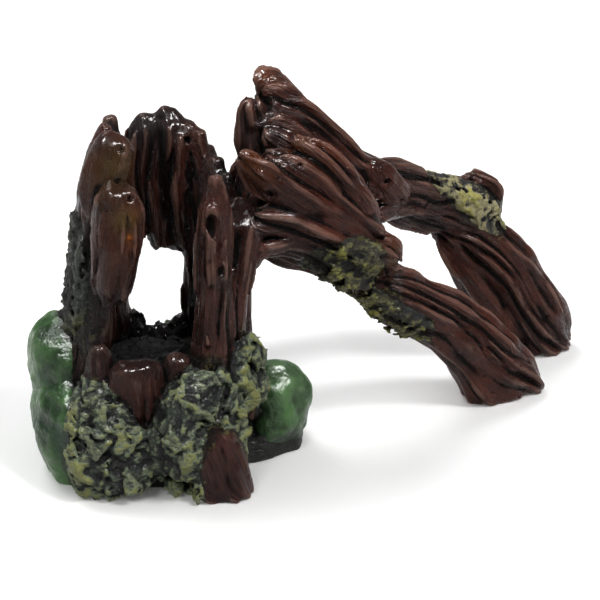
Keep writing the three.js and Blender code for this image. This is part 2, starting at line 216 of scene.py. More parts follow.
class Casting:
    """A CAD casting's distance field, in mm, on its own part of the grid, and its grain."""

    def __init__(self, index, name):
        self.index, self.name, self.kind = index, name, KIND[name]
        co, tri = mesh_arrays(frame["nodes"][name])
        self.low = np.maximum(np.floor(co.min(0) / VOXEL).astype(int) - PAD - ORIGIN, 0)
        self.high = np.minimum(np.ceil(co.max(0) / VOXEL).astype(int) + PAD + 1 - ORIGIN, SHAPE)
        grid = vdb.FloatGrid.createLevelSetFromPolygons(
            co, triangles=tri, transform=TRANSFORM, halfWidth=float(BAND)
        )
        field = np.empty(self.high - self.low, np.float32)
        grid.copyToArray(field, tuple(int(v) for v in ORIGIN + self.low))
        self.field = field
        self.find_grain()

    def window(self):
        return tuple(slice(a, b) for a, b in zip(self.low, self.high))

    def points(self, mask):
        return (np.argwhere(mask) + self.low + ORIGIN).astype(np.float32) * VOXEL

    def find_grain(self):
        inside = self.points(self.field < 0)
        self.centre = inside.mean(0)
        stride = max(len(inside) // 20000, 1)
        _, _, axes = np.linalg.svd((inside - self.centre)[::stride], full_matrices=False)
        self.axis = axes[0] * (1 if axes[0] @ (1, 0, -0.6) > 0 else -1)
        self.flat = self.name in UPRIGHT
        if self.flat:
            self.axis = np.array((0.0, 0.0, 1.0))
        self.side = np.cross(self.axis, (0, 1, 0) if abs(self.axis[1]) < 0.8 else (1, 0, 0))
        self.side /= np.linalg.norm(self.side)
        self.front = np.cross(self.axis, self.side)
        along = (inside - self.centre) @ self.axis
        self.start, self.end = along.min(), along.max()
        self.stations = np.linspace(self.start, self.end, 9)
        half = (self.end - self.start) / 14
        self.spine = np.array([inside[np.abs(along - s) < half + 0.5].mean(0) for s in self.stations])
        section = len(inside) * VOXEL**3 / (self.end - self.start)
        self.radius = max(math.sqrt(section / math.pi), 3.0)

    def grain_at(self, p):
        """Coordinates round and along the grain, in mm."""
        along = (p - self.centre) @ self.axis
        centre = np.stack([np.interp(along, self.stations, self.spine[:, k]) for k in range(3)], 1)
        r = p - centre
        a, b = r @ self.side, r @ self.front
        if self.flat:
            return np.stack([a, b, along], 1).astype(np.float32)
        reach = np.sqrt(a * a + b * b) + 0.6
        return np.stack([a / reach * self.radius, b / reach * self.radius, along], 1).astype(np.float32)


def sampled(field, p):
    """A grid field at the points p, in mm, by linear interpolation."""
    q = p / VOXEL - ORIGIN
    i = np.clip(np.floor(q).astype(int), 0, SHAPE - 2)
    f = (q - i).astype(np.float32)
    total = np.zeros(len(p), np.float32)
    for dx in (0, 1):
        for dy in (0, 1):
            for dz in (0, 1):
                share = np.ones(len(p), np.float32)
                for k, d in enumerate((dx, dy, dz)):
                    share = share * (f[:, k] if d else 1 - f[:, k])
                total += share * field[i[:, 0] + dx, i[:, 1] + dy, i[:, 2] + dz]
    return total


# ---------------------------------------------------------------- carving

# How strongly a casting is ribbed, finely ribbed and torn at its ends; 1 is rough bark.
BARK = {
    "stump_front_post": (0.4, 0.6, 0.15),
    "hanging_bark_slab": (0.3, 0.5, 0.1),
    "front_left_stave": (0.3, 0.4, 0.25),
    "front_stub_left": (0.35, 0.4, 0.2),
    "front_stub_broad": (0.3, 0.35, 0.15),
    "front_stub_middle": (0.35, 0.4, 0.2),
    "front_root_toe": (0.45, 0.5, 0.2),
    "front_leg": (0.85, 0.65, 0.4),
    "rear_leg": (0.9, 0.65, 0.4),
    "stump_back_lintel": (0.8, 0.75, 0.1),
    "stump_back_left_stave": (0.6, 0.6, 0.1),
    "stump_left_wall": (0.7, 0.7, 0.1),
    "stump_back_right_wall": (0.8, 0.75, 0.1),
    "log_front_splinter": (0.8, 0.9, 0.3),
    "log_middle_splinter": (0.8, 0.9, 0.4),
    "log_grey_splinter": (0.7, 0.8, 0.4),
    "log_upper_splinter": (0.8, 0.9, 0.4),
    "log_horn": (1.0, 1.0, 0.4),
    "rear_branch_knot": (0.3, 0.5, 0.1),
}
CHARRED = ("stump_back_sill",)


# Sizes in mm of the noise behind each feature: twice across the grain and once along it, or in X, Y and Z.
WIDE_RIB, FINE_RIB, TORN_RIB = (5.0, 5.0, 80), (2.5, 2.5, 50), (3.0, 3.0, 60)
FOLD, FLAKE, CRACK = (6.5, 6.5, 9.0), (3.0, 3.0, 4.2), (7.0, 7.0, 9.0)
MOSS_FLAKE = (3.4, 3.4, 2.4)

# Each carving returns how far the skin moves out at the points p, in mm.


def bark(casting, p):
    """Fibre ridges along the grain, wide and fine, with torn ends, low lumps and pits."""
    g = casting.grain_at(p)
    warp = np.stack([noise(p / 15, 5), noise(p / 15, 6), np.zeros(len(p))], 1) * 1.4
    g = (g + warp).astype(np.float32)
    seed = casting.index * 7
    wide_share, fine_share, torn_share = BARK.get(casting.name, (1.0, 1.0, 0.5))
    wide = billow(g / WIDE_RIB, seed + 1)
    fine = billow(g / FINE_RIB, seed + 2)
    lumps = noise(p / 9, 9)
    to_end = np.minimum(g[:, 2] - casting.start, casting.end - g[:, 2])
    torn = (1 - smoothstep(to_end, 1, 7)) * noise(g / TORN_RIB, seed + 3)
    pits = smoothstep(noise(p / 2.6, 11), 0.6, 0.8)
    ribs = 2.0 * wide_share * wide + 1.35 * fine_share * fine + 1.6 * torn_share * torn
    if casting.flat:
        top = smoothstep(sampled(upward, p), 0.08, 0.45)
        ribs = ribs * (1 - 0.85 * top) + 0.5 * noise(p / 6, 13) * top
    return ribs + 0.4 * lumps - 0.7 * pits + 0.15


def flakes(q, seed):
    """Overlapping plates with steep edges, about -0.5 to 0.5."""
    n = noise(q, seed) * 2.2
    step = np.floor(n)
    return step + smoothstep(n - step, 0.55, 0.95) - n * 0.35


def warped(p, size, amount, seed):
    shift = np.stack([noise(p / size, seed + k) for k in range(3)], 1) * amount
    return (p + shift).astype(np.float32)


def crags(casting, p):
    """Crumbly rock: lumps, folded plates, flakes and crumbs, with a network of cracks."""
    q = warped(p, 6, 2.2, 41)
    lump = noise(p / 12, 47) * 2.2
    fold = 1.5 * flakes(q / FOLD, 44)
    flake = 0.75 * flakes(q / FLAKE, 45)
    crumb = 0.5 * billow(warped(p, 2, 0.5, 61) / 1.6, 46)
    crack = 1 - smoothstep(np.abs(noise(q / CRACK, 48)), 0.02, 0.2)
    return lump + fold + flake + crumb - 1.1 * crack + 0.4


def rubble(casting, p):
    """The same, in lower relief."""
    return 0.55 * crags(casting, p)


def lichen(casting, p):
    """Thin overlapping flakes and crumbs of moss."""
    q = warped(p, 3.5, 1.2, 51)
    flake = 0.4 * flakes(q / MOSS_FLAKE, 54)
    crumb = 0.42 * billow(warped(p, 2, 0.5, 61) / 1.5, 55)
    return flake + crumb - 0.75 + 0.4 * noise(p / 7, 56)


def dented(casting, p):
    """A smooth rock's soft dents."""
    return 1.2 * noise(p / 9, 31) + 0.5 * noise(p / 4.2, 32) + 0.16 * noise(p / 1.9, 33) + 0.5


def carving_of(casting):
    if casting.name in CHARRED:
        return rubble
    return {WOOD: bark, GREEN: dented, MOSSY: crags, MOSS: lichen, SLAB: dented, RUBBLE: rubble}[casting.kind]


# ---------------------------------------------------------------- one skin over all castings

castings = [Casting(i, n) for i, n in enumerate(NODES)]
by_name = {c.name: c for c in castings}

nearest = np.full(SHAPE, FAR, np.float32)
second = np.full(SHAPE, FAR, np.float32)
first_of = np.full(SHAPE, -1, np.int16)
second_of = np.full(SHAPE, -1, np.int16)
for c in castings:
    w = c.window()
    d, n1, n2, f1, f2 = c.field, nearest[w], second[w], first_of[w], second_of[w]
    closer = d < n1
    between = ~closer & (d < n2)
    n2[:] = np.where(closer, n1, np.where(between, d, n2))
    f2[:] = np.where(closer, f1, np.where(between, c.index, f2))
    n1[:] = np.where(closer, d, n1)
    f1[:] = np.where(closer, c.index, f1)

# Walls that face each other melt together, and surfaces that run on into each other don't bulge.
facing = np.zeros(SHAPE, np.float32)
for axis in range(3):
    slope_1, slope_2 = np.zeros(SHAPE, np.float32), np.zeros(SHAPE, np.float32)
    for c in castings:
        w = c.window()
        slope = np.gradient(c.field, VOXEL, axis=axis)
        slope_1[w] = np.where(first_of[w] == c.index, slope, slope_1[w])
        slope_2[w] = np.where(second_of[w] == c.index, slope, slope_2[w])
    facing -= slope_1 * slope_2
facing = blurred(np.clip((facing + 1) / 2, 0, 1), 1, 2)
is_wood = np.array([c.kind == WOOD for c in castings] + [False])
reach = np.where(is_wood[first_of] & is_wood[second_of], WOOD_MELT, OTHER_MELT) * facing + 0.01
post, column = by_name["stump_front_post"].index, by_name["stump_right_column"].index
paired = ((first_of == post) & (second_of == column)) | ((first_of == column) & (second_of == post))
up = ((np.arange(SHAPE[2]) + ORIGIN[2]) * VOXEL)[None, None, :]
low_down = 1 - smoothstep(up, POST_MELT_FROM, POST_MELT_TO)
reach = np.where(paired, reach * (1 + POST_MELT_GAIN * low_down), reach)
knot = by_name["rear_branch_knot"].index
at_knot = (first_of == knot) | (second_of == knot)
reach = np.where(at_knot & (reach > 1), reach * KNOT_MELT_GAIN, reach)
overlap = np.clip(reach - (second - nearest), 0, None) / reach
skin = nearest - overlap**2 * reach / 4
skin = blurred(np.clip(skin, -FAR, FAR), 1, 2)
del facing, overlap, reach, slope_1, slope_2

# Above 0 near a wall's top edge.
upward = blurred(np.gradient(skin, VOXEL, axis=2), int(RIM_BLUR / VOXEL), 2)

push = np.zeros(SHAPE, np.float32)
weight = np.full(SHAPE, 1e-9, np.float32)
for c in castings:
    w = c.window()
    near = (np.abs(skin[w]) < CARVE_REACH) & (c.field - nearest[w] < SHARED_REACH)
    p = c.points(near)
    share = np.exp(-(c.field[near] - nearest[w][near]) / SHARED_FALLOFF)
    push[w][near] += share * carving_of(c)(c, p)
    weight[w][near] += share
skin -= push / weight

# Crevices where two strands of wood meet, shallow seams elsewhere.
depth = np.zeros((len(castings) + 1, len(castings) + 1), np.float32)
for a in castings:
    for b in castings:
        depth[a.index, b.index] = CREVICE_DEPTH if a.kind == b.kind == WOOD else SEAM_DEPTH
for a, b in GROWN_TOGETHER:
    i, j = by_name[a].index, by_name[b].index
    depth[i, j] = depth[j, i] = GROWN_DEPTH
split = (second - nearest) / 2
skin += depth[first_of, second_of] * np.exp(-((split / CREVICE_WIDTH) ** 2)) * (np.abs(skin) < CREVICE_REACH)

# ---------------------------------------------------------------- holes, pits and slits


def carve(centre, radii, lean=0.0, lip=0.0):
    """Sinks an ellipsoid into the skin, with a raised lip round it."""
    reach = np.array(radii) + 3
    a = np.maximum(np.floor((np.array(centre) - reach.max()) / VOXEL).astype(int) - ORIGIN, 0)
    b = np.minimum(np.ceil((np.array(centre) + reach.max()) / VOXEL).astype(int) + 1 - ORIGIN, SHAPE)
    w = tuple(slice(i, j) for i, j in zip(a, b))
    axes = [(np.arange(i, j) + o) * VOXEL - m for i, j, o, m in zip(a, b, ORIGIN, centre)]
    x, y, z = np.meshgrid(*axes, indexing="ij")
    s, c = math.sin(lean), math.cos(lean)
    x, z = x * c + z * s, z * c - x * s
    k = np.sqrt((x / radii[0]) ** 2 + (y / radii[1]) ** 2 + (z / radii[2]) ** 2)
    d = ((k - 1) * min(radii)).astype(np.float32)
    part = skin[w]
    part[:] = np.maximum(part, -d) - lip * np.exp(-((d - 0.6) ** 2) / 0.8) * (np.abs(part) < 3)


# Centre in mm, radii across (X), deep (Y) and up (Z) in mm, lean in radians, height of the lip in mm.
HOLES = [
    ((-60.2, -26.5, 79.0), (1.7, 4.0, 4.2), 0.1, 0.5),
    ((-58.4, -27.0, 66.0), (1.3, 1.2, 1.7), 0.0, 0.4),
    ((-61.2, -26.5, 61.5), (0.9, 1.2, 0.9), 0.0, 0.0),
    ((-62.6, -26.0, 43.2), (1.3, 1.6, 1.5), 0.0, 0.3),
    ((-81.1, -19.5, 88.2), (1.0, 2.0, 0.9), 0.0, 0.2),
    ((-82.3, -21.6, 72.0), (0.7, 1.8, 4.2), 0.05, 0.0),
    ((-80.6, -13.6, 100.2), (1.1, 2.0, 1.0), 0.0, 0.2),
    ((-49.7, 10.4, 94.3), (1.2, 2.0, 1.1), 0.0, 0.2),
    ((-39.9, -22.4, 84.1), (1.8, 3.2, 1.4), -0.4, 0.5),
    ((7.6, -11.0, 78.4), (1.8, 3.0, 1.6), 0.3, 0.4),
    ((-30.8, -23.2, 91.8), (0.9, 1.8, 0.8), 0.0, 0.2),
    ((-27.2, -13.0, 97.2), (1.0, 2.0, 0.9), 0.0, 0.2),
]
for centre, radii, lean, lip in HOLES:
    carve(centre, radii, lean, lip)

# Nothing goes below the floor.
height = ((np.arange(SHAPE[2]) + ORIGIN[2]) * VOXEL).astype(np.float32)
skin = np.maximum(skin, -height[None, None, :])

ridge_field = blurred(skin, 2, 2) - skin
broad_field = blurred(skin, max(int(BROAD_BLUR / VOXEL), 2), 2) - skin
moss_near = np.full(SHAPE, FAR, np.float32)
for c in castings:
    if c.kind in (MOSS, MOSSY):
        moss_near[c.window()] = np.minimum(moss_near[c.window()], c.field)


# ---------------------------------------------------------------- painted patches
# Soft spots of another colour: centre in mm, radius in mm, strength.

WARM = [
    ((-82.6, -21.0, 78.0), 1.2, 2.2),
    ((-28.4, -18.0, 97.0), 3.6, 1.0),
    ((-46.2, -18.8, 93.7), 4.0, 1.0),
    ((-31.5, -3.4, 114.0), 4.5, 0.6),
    ((-2.0, -22.0, 61.0), 5.0, 0.7),
    ((-81.3, -20.5, 84.0), 2.6, 0.9),
    ((-82.0, -20.5, 75.0), 2.0, 0.7),
    ((-41.0, -20.0, 90.0), 4.0, 0.6),
    ((-22.0, -20.0, 91.0), 5.0, 0.4),
    ((-88.0, -20.0, 70.0), 7.0, 0.3),
]
LILAC = [
    ((-59.0, 17.0, 98.0), 9.0, 1.1),
    ((-67.0, 17.0, 101.0), 8.0, 0.9),
    ((-73.0, 14.0, 96.0), 8.0, 0.7),
    ((-35.0, -2.0, 98.0), 8.0, 0.9),
    ((-31.0, -12.0, 93.0), 5.0, 0.6),
    ((-86.0, -11.0, 101.0), 5.0, 0.5),
    ((-91.0, -16.0, 72.0), 5.0, 0.3),
    ((-62.0, -31.0, 9.0), 13.0, 0.7),
    ((-81.0, -17.5, 38.0), 8.0, 0.5),
    ((-69.0, -20.5, 38.0), 5.0, 0.5),
    ((-58.0, -28.0, 64.0), 2.5, 0.6),
]
OLIVE = [
    ((-83.3, -20.5, 82.5), 3.6, 1.1),
    ((-81.0, -13.0, 96.5), 5.0, 0.6),
    ((-86.0, -12.0, 92.0), 7.0, 0.4),
    ((-1.0, -22.0, 58.0), 4.0, 0.5),
]
# Paler patches: one over the moss at the back right, and one on the right green rock that paints light on it,
# as if lit from the top right.
PALE_AND_LIT = [((53.0, 4.5, 62.0), 18.0, 1.3), ((-33.0, -12.0, 22.0), 10.0, 0.9)]
GREY = [((-92.0, 2.0, 66.0), 26.0, 1.3)]
LICHEN = [
    ((-22.0, -23.0, 61.0), 5.0, 0.8),
    ((-13.0, -23.0, 53.0), 6.0, 0.9),
    ((-4.0, -20.0, 46.0), 6.0, 1.0),
    ((3.5, -18.4, 45.0), 4.0, 0.7),
    ((6.0, -19.5, 38.0), 6.0, 1.0),
    ((14.0, -20.0, 31.0), 5.0, 0.8),
    ((36.0, 5.0, 71.0), 6.0, 0.8),
    ((62.0, 6.0, 50.0), 7.0, 0.7),
    ((-90.7, -7.0, 46.0), 8.0, 0.7),
    ((-93.0, 2.0, 52.0), 9.0, 0.8),
    ((-48.0, -22.0, 45.0), 6.0, 0.7),
    ((-62.0, -34.0, 26.0), 7.0, 0.5),
]
# Darker spots on the stump's walls: soot-black paint that is partly painted shade, most of all inside the
# hollow.
SOOT_AND_SHADE = [
    ((-88.0, -4.0, 52.0), 22.0, 0.8),
    ((-87.0, 6.0, 84.0), 9.0, 0.5),
    ((22.0, 2.0, 76.0), 8.0, 0.3),
    ((-47.0, -8.0, 88.0), 9.0, 0.8),
    ((-54.0, 6.0, 66.0), 10.0, 0.7),
    ((-40.0, -2.0, 88.0), 8.0, 0.7),
]
# The patches that every piece's paint reads, by the attribute's name.
PATCHES = {"warm": WARM, "lilac": LILAC, "olive": OLIVE, "pale": PALE_AND_LIT, "grey": GREY}


def spots(p, list_of_spots):
    """How strongly the spots colour the points p, from 0 to 2."""
    total = np.zeros(len(p), np.float32)
    for centre, radius, strength in list_of_spots:
        r2 = ((p - np.array(centre)) ** 2).sum(1)
        total += strength * np.exp(-r2 / radius**2)
    return np.clip(total, 0, 2).astype(np.float32)


CAVE_HEART = (-58, 0, 36)  # the middle of the cave's floor
CAVE_SPREAD = (1.6, 1.3, 1.0)


def char_and_shade_at(p, name):
    """1 where the casting is painted black: the sill's crumbly rubble, and painted shade inside the stump's
    hollow, near its floor and at the soot-and-shade spots.
    """
    if name in CHARRED:
        return np.ones(len(p), np.float32)
    x, y, z = ((p[:, k] - CAVE_HEART[k]) / CAVE_SPREAD[k] for k in range(3))
    from_heart = np.hypot(np.hypot(x, y), z)
    return np.maximum(1 - smoothstep(from_heart, 9, 19), spots(p, SOOT_AND_SHADE)).astype(np.float32)


# ---------------------------------------------------------------- meshes


def kept_bodies(points, quads):
    """Drops loose crumbs, and the points that nothing uses."""
    label = np.arange(len(points))
    while True:
        lowest = label[quads].min(1)
        new = label.copy()
        for k in range(4):
            np.minimum.at(new, quads[:, k], lowest)
        new = new[new]
        if (new == label).all():
            break
        label = new
    owner = label[quads[:, 0]]
    names, counts = np.unique(owner, return_counts=True)
    quads = quads[np.isin(owner, names[counts >= SMALLEST_BODY])]
    used, flat = np.unique(quads, return_inverse=True)
    return points[used], flat.reshape(-1, 4)


def piece_of(c):
    """The part of the skin that belongs to casting c, closed along its joints: points in mm, and quads."""
    w = c.window()
    rival = np.where(first_of[w] == c.index, second[w], nearest[w])
    beyond = (c.field - rival) / 2
    body = np.maximum(skin[w] + np.maximum(beyond, 0) * SPLIT_STEEPNESS, beyond - OVERLAP)
    body = np.clip(body, -FAR, FAR)
    for axis in range(3):
        for side in (0, -1):
            edge = [slice(None)] * 3
            edge[axis] = side
            body[tuple(edge)] = np.maximum(body[tuple(edge)], 0.5)
    grid = vdb.FloatGrid(FAR)
    grid.transform = TRANSFORM
    grid.copyFromArray(np.ascontiguousarray(body, np.float32), tuple(int(v) for v in ORIGIN + c.low))
    points, _, quads = grid.convertToPolygons(0.0, 0.0)
    points, quads = kept_bodies(points, quads[:, ::-1].astype(np.int64))
    return points, quads


def add_attribute(mesh, name, values, kind="FLOAT"):
    attribute = mesh.attributes.new(name, kind, "POINT")
    key = "vector" if kind == "FLOAT_VECTOR" else "value"
    attribute.data.foreach_set(key, np.ascontiguousarray(values, np.float32).ravel())


def build_piece(c, material):
    """Makes casting c's visible piece, with the attributes that its paint reads."""
    points, quads = piece_of(c)
    mesh = bpy.data.meshes.new(c.name + "_sculpt")
    mesh.vertices.add(len(points))
    mesh.vertices.foreach_set("co", (points * MM).astype(np.float32).ravel())
    mesh.loops.add(len(quads) * 4)
    mesh.loops.foreach_set("vertex_index", quads.astype(np.int32).ravel())
    mesh.polygons.add(len(quads))
    mesh.polygons.foreach_set("loop_start", np.arange(0, len(quads) * 4, 4, dtype=np.int32))
    mesh.polygons.foreach_set("use_smooth", np.ones(len(quads), bool))
    mesh.update(calc_edges=True)
    mesh.validate()
    add_attribute(mesh, "ridge", np.clip(sampled(ridge_field, points) / RIDGE_UNIT, -2, 2))
    add_attribute(mesh, "broad", np.clip(sampled(broad_field, points) / BROAD_UNIT, -2, 2))
    add_attribute(mesh, "grain", c.grain_at(points), "FLOAT_VECTOR")
    beside_moss = np.exp(-np.clip(sampled(moss_near, points), 0, 9) / MOSS_SPREAD)
    add_attribute(mesh, "mossy", np.maximum(beside_moss, spots(points, LICHEN)))
    for name, patches in PATCHES.items():
        add_attribute(mesh, name, spots(points, patches))
    add_attribute(mesh, "char_and_shade", char_and_shade_at(points, c.name))
    mesh.materials.append(material)
    piece = bpy.data.objects.new(c.name + "_sculpt", mesh)
    bpy.context.scene.collection.objects.link(piece)
    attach(piece, "root")
    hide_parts(c.name)


# ---------------------------------------------------------------- materials


class Nodes:
    """A short way to write a material's node tree."""

    def __init__(self, name):
        self.material = bpy.data.materials.new(name)
        self.material.use_nodes = True
        self.tree = self.material.node_tree
        self.shader = self.tree.nodes["Principled BSDF"]

    def new(self, kind, **inputs):
        node = self.tree.nodes.new(kind)
        for key, value in inputs.items():
            self.give(node.inputs[key], value)
        return node

    def give(self, socket, value):
        if isinstance(value, bpy.types.NodeSocket):
            self.tree.links.new(value, socket)
        else:
            socket.default_value = value

    def attribute(self, name, output="Fac"):
        node = self.tree.nodes.new("ShaderNodeAttribute")
        node.attribute_name = name
        return node.outputs[output]

    def place(self):
        return self.new("ShaderNodeTexCoord").outputs["Object"]

    def scaled(self, vector, scale):
        node = self.tree.nodes.new("ShaderNodeMapping")
        self.give(node.inputs["Vector"], vector)
        node.inputs["Scale"].default_value = scale
        return node.outputs["Vector"]

    def noise(self, vector, scale, detail=3.0, rough=0.55):
        node = self.new("ShaderNodeTexNoise", Vector=vector, Scale=scale, Detail=detail, Roughness=rough)
        return node.outputs["Fac"]

    def ramp(self, value, low, high, out_low=0.0, out_high=1.0):
        node = self.tree.nodes.new("ShaderNodeMapRange")
        node.interpolation_type = "SMOOTHSTEP"
        for k, v in enumerate((value, low, high, out_low, out_high)):
            self.give(node.inputs[k], v)
        return node.outputs[0]

    def math(self, kind, a, b=0.0):
        node = self.tree.nodes.new("ShaderNodeMath")
        node.operation = kind
        self.give(node.inputs[0], a)
        self.give(node.inputs[1], b)
        return node.outputs[0]

    def times(self, a, factor):
        return self.math("MULTIPLY", a, factor)

    def plus(self, a, b, factor=1.0):
        """a + b * factor"""
        return self.math("ADD", a, b if factor == 1.0 else self.times(b, factor))

    def capped(self, a, factor, cap):
        return self.math("MINIMUM", self.times(a, factor), cap)

    def mix(self, share, a, b):
        node = self.tree.nodes.new("ShaderNodeMix")
        node.data_type = "RGBA"
        self.give(node.inputs["Factor"], share)
        self.give(node.inputs[6], a)
        self.give(node.inputs[7], b)
        return node.outputs[2]

    def bump(self, height, distance, strength=1.0, normal=None):
        node = self.new("ShaderNodeBump", Height=height, Distance=distance, Strength=strength)
        if normal is not None:
            self.give(node.inputs["Normal"], normal)
        return node.outputs["Normal"]


def rgb(r, g, b):
    """A colour given in screen values from 0 to 255."""
    shares = [v / 255 for v in (r, g, b)]
    linear = [v / 12.92 if v <= 0.0405 else ((v + 0.055) / 1.055) ** 2.4 for v in shares]
    return (*linear, 1.0)


DARK_BARK, LIGHT_BARK = rgb(64, 30, 23), rgb(104, 56, 43)
BARK_STREAK, BARK_HAIR = rgb(122, 68, 50), rgb(20, 9, 7)
AMBER, ORANGE = rgb(150, 82, 28), rgb(244, 142, 34)
LILAC_GREY, OLIVE_BROWN = rgb(58, 48, 50), rgb(122, 98, 42)
DRY_BRUSH_AND_HIGHLIGHT, BARK_WASH_AND_SHADE = rgb(174, 134, 118), rgb(22, 10, 7)
SOOT_AND_SHADE_BLACK, SOOT_AND_SHADE_CREST = rgb(9, 8, 7), rgb(58, 48, 42)
BLACK_MOSS, MOSS_FLECK, GREY_FLECK = rgb(24, 23, 16), rgb(116, 112, 68), rgb(84, 86, 76)


def wood_paint():
    """Brown bark: mottled and streaked along the grain. It is dark in the grooves, with a wash that is partly
    painted shade, and dry-brushed on the crests, with paint that is partly a painted highlight. Inside the
    stump's hollow it is soot-black, with painted shade.
    """
    m = Nodes("wood_paint")
    place = m.place()
    grain = m.attribute("grain", "Vector")
    ridge = m.attribute("ridge")
    broad = m.attribute("broad")
    lilac = m.attribute("lilac")
    warm = m.attribute("warm")
    streaks = m.noise(m.scaled(grain, (1.2, 1.2, 0.05)), 1.0, 4.0, 0.62)
    hairs = m.noise(m.scaled(grain, (3.4, 3.4, 0.14)), 1.0, 3.0, 0.6)
    blotches = m.noise(m.scaled(place, (75, 75, 75)), 1.0, 3.0, 0.5)
    specks = m.noise(m.scaled(place, (900, 900, 900)), 1.0, 2.0, 0.6)
    flecks = m.noise(m.scaled(place, (420, 560, 700)), 1.0, 4.0, 0.65)

    base = m.mix(m.ramp(blotches, 0.35, 0.65), DARK_BARK, LIGHT_BARK)
    base = m.mix(m.ramp(streaks, 0.5, 0.7, 0.0, 0.6), base, BARK_STREAK)
    base = m.mix(m.times(m.ramp(hairs, 0.5, 0.7), 0.65), base, BARK_HAIR)
    base = m.mix(m.capped(warm, 0.75, 0.94), base, m.mix(m.ramp(warm, 1.2, 2.0), AMBER, ORANGE))
    base = m.mix(m.capped(lilac, 0.65, 0.75), base, LILAC_GREY)
    base = m.mix(m.capped(m.attribute("olive"), 0.7, 0.8), base, OLIVE_BROWN)

    # Lighter dry-brush paint on the crests, partly a painted highlight along the ridges.
    crest = m.ramp(m.plus(ridge, streaks, 1.6), 1.75, 2.7)
    base = m.mix(m.times(crest, 0.52), base, DRY_BRUSH_AND_HIGHLIGHT)
    # Darker wash in the grooves and hollows, partly real wash and partly painted shade.
    wash_and_shade = m.ramp(m.plus(ridge, broad, 0.3), -0.1, -1.1)
    base = m.mix(m.times(wash_and_shade, 0.96), base, BARK_WASH_AND_SHADE)
    # Near-black on the sill's rubble and inside the stump's hollow, where it is painted shade; a little
    # lighter on the crests.
    soot_and_shade = m.math("MINIMUM", m.attribute("char_and_shade"), 0.93)
    base = m.mix(soot_and_shade, base, m.mix(crest, SOOT_AND_SHADE_BLACK, SOOT_AND_SHADE_CREST))

    moss = m.plus(m.attribute("mossy"), flecks, 0.9)
    fleck = m.ramp(m.plus(flecks, ridge, 0.05), 0.54, 0.62)
    moss_colour = m.mix(fleck, BLACK_MOSS, m.mix(m.attribute("grey"), MOSS_FLECK, GREY_FLECK))
    base = m.mix(m.ramp(moss, 0.9, 1.25, 0.0, 0.88), base, moss_colour)
    m.give(m.shader.inputs["Base Color"], base)

    sheen = m.ramp(m.plus(hairs, specks, 0.4), 0.4, 1.0, 0.17, 0.32)
    m.give(m.shader.inputs["Roughness"], m.plus(sheen, lilac, 0.25))
    m.shader.inputs["Specular IOR Level"].default_value = 0.25
    m.give(m.shader.inputs["Coat Weight"], m.ramp(wash_and_shade, 0.0, 0.8, 0.3, 0.02))
    m.shader.inputs["Coat Roughness"].default_value = 0.15
    fibres = m.bump(m.plus(streaks, hairs, 0.5), 0.0022, 1.0)
    m.give(m.shader.inputs["Normal"], m.bump(specks, 0.0001, 0.6, fibres))
    return m.material


MOSS_WASH_AND_SHADE = rgb(7, 8, 6)
GREY_MID, GREY_BRIGHT, GREY_SPOT = rgb(30, 33, 27), rgb(66, 72, 60), rgb(80, 86, 70)
PALE_AND_LIT_MID, PALE_AND_LIT_BRIGHT = rgb(132, 126, 100), rgb(190, 182, 140)


def mossy_paint(name, dark, mid, bright, fleck, lit):
    """Crumbly paint: dark ground, mid-tone patches, and sharp bright flecks above the level `lit`."""
    m = Nodes(name)
    place = m.place()
    ridge = m.attribute("ridge")
    broad = m.attribute("broad")
    pale = m.attribute("pale")
    grey = m.attribute("grey")
    clumps = m.noise(m.scaled(place, (85, 85, 85)), 1.0, 2.0, 0.5)
    patches = m.noise(m.scaled(place, (230, 230, 300)), 1.0, 5.0, 0.65)
    crumbs = m.noise(m.scaled(place, (460, 600, 760)), 1.0, 5.0, 0.68)

    # Paler colours inside the pale patches; near the right green rock this is painted light.
    mid = m.mix(pale, m.mix(grey, mid, GREY_MID), PALE_AND_LIT_MID)
    bright = m.mix(pale, m.mix(grey, bright, GREY_BRIGHT), PALE_AND_LIT_BRIGHT)
    fleck = m.mix(grey, fleck, GREY_SPOT)
    base = m.mix(m.ramp(m.plus(patches, ridge, 0.12), 0.42, 0.6), dark, mid)
    clumped = m.plus(crumbs, m.math("SUBTRACT", clumps, 0.5), 0.7)
    level = m.plus(clumped, m.plus(m.times(ridge, 0.11), pale, 0.12))
    base = m.mix(m.ramp(level, lit - 0.02, lit + 0.16), base, bright)
    dabs = m.plus(m.plus(crumbs, clumps, 0.9), ridge, 0.12)
    base = m.mix(m.ramp(dabs, lit + 0.61, lit + 0.73, 0.0, 0.7), base, fleck)
    # Darker in the recesses, partly wash and partly painted shade.
    wash_and_shade = m.ramp(m.plus(m.times(ridge, 0.9), broad, 0.7), 0.05, -0.9)
    base = m.mix(m.times(wash_and_shade, 0.97), base, MOSS_WASH_AND_SHADE)
    m.give(m.shader.inputs["Base Color"], base)

    m.give(m.shader.inputs["Roughness"], m.ramp(crumbs, 0.3, 0.7, 0.28, 0.52))
    m.shader.inputs["Specular IOR Level"].default_value = 0.4
    m.shader.inputs["Coat Weight"].default_value = 0.15
    m.shader.inputs["Coat Roughness"].default_value = 0.16
    m.give(m.shader.inputs["Normal"], m.bump(crumbs, 0.0016, 1.0, m.bump(patches, 0.0024, 0.7)))
    return m.material


DARK_GREEN, LIGHT_GREEN, BLUE_GREEN = rgb(34, 62, 32), rgb(84, 124, 72), rgb(66, 88, 78)
GREEN_CREST_AND_HIGHLIGHT, PALE_AND_LIT_GREEN, GREEN_WASH_AND_SHADE = rgb(118, 150, 106), rgb(126, 158, 112), rgb(9, 12, 9)
MOSS_STAIN = rgb(36, 42, 31)


